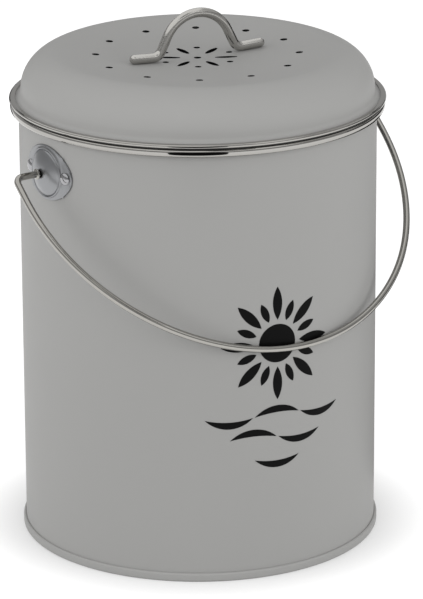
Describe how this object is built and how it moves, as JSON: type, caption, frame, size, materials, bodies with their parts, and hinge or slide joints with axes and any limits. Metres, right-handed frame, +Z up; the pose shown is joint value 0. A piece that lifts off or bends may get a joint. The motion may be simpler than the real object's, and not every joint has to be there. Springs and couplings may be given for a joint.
{
  "type": "compost caddy",
  "caption": "Straight round steel pail with a rolled rim, a wire bail in riveted ears, and a vented dished lift-off lid with a rod grip and a filter tray.",
  "frame": {"origin": "centre of the foot, on the floor", "axes": "+Z up along the pail's axis, +X to the right-hand ear, -Y to the front, where the bail hangs"},
  "size_m": [0.2458, 0.2104, 0.3016],
  "materials": {
    "pail_paint": "warm light grey powder coat, satin and slightly fine-textured",
    "lid_paint": "warm light grey powder coat, satin and slightly fine-textured",
    "polished_trim": "polished stainless steel",
    "polished_rod": "polished stainless steel wire and rod",
    "ear_steel": "bright pressed steel with a soft sheen",
    "rivet_steel": "bright rivet steel",
    "inner_steel": "plain stainless steel sheet",
    "seal_rubber": "matt black silicone rubber",
    "tray_plastic": "matt black moulded plastic",
    "charcoal_foam": "open black carbon-filled foam"
  },
  "bodies": {
    "pail": {"pail_shell": "pail_paint", "pail_base": "pail_paint", "pail_rim": "polished_trim", "left_ear": "ear_steel", "right_ear": "ear_steel", "left_ear_rivets": "rivet_steel", "right_ear_rivets": "rivet_steel"},
    "bail": {"bail": "polished_rod"},
    "lid": {"lid_shell": "lid_paint", "lid_band": "polished_trim", "lid_skirt": "inner_steel", "lid_seal": "seal_rubber", "lid_grip": "polished_rod", "filter_seat": "inner_steel"},
    "filter": {"filter_tray": "tray_plastic", "filter_pad": "charcoal_foam"}
  },
  "joints": [
    {"name": "bail_swing", "type": "hinge", "parent": "pail", "child": "bail", "pos_m": [0, 0, 0.2241], "axis": [-1, 0, 0], "range_deg": [0, 260]},
    {"name": "lid_lift", "type": "slide", "parent": "pail", "child": "lid", "axis": [0, 0, 1], "range_m": [0, 0.12]},
    {"name": "filter_turn", "type": "hinge", "parent": "lid", "child": "filter", "pos_m": [0, 0, 0.2632], "axis": [0, 0, 1], "range_deg": [0, 18]}
  ]
}
